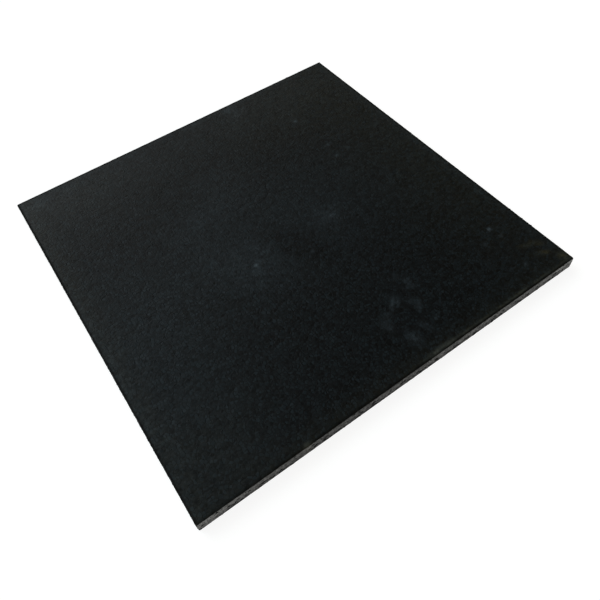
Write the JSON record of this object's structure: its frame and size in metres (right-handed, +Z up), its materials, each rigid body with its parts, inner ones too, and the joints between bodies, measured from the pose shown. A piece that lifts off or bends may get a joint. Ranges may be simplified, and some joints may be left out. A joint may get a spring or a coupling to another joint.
{
  "type": "rubber gym floor tile",
  "caption": "Square black floor tile of pressed rubber crumb with a flat grained top, straight sides and slightly eased edges, laid edge to edge as gym flooring.",
  "frame": {"origin": "centre of the underside", "axes": "+Z up through the thickness, +X along the front side from the near corner to the right-hand corner, +Y from the near corner to the left-hand corner"},
  "size_m": [0.6, 0.6, 0.02],
  "materials": {
    "crumb_rubber": "pressed, fine-grained matt black crumb, with a greyer, dusty and pitted side"
  },
  "bodies": {
    "root": {"rubber_tile": "crumb_rubber"}
  },
  "joints": []
}
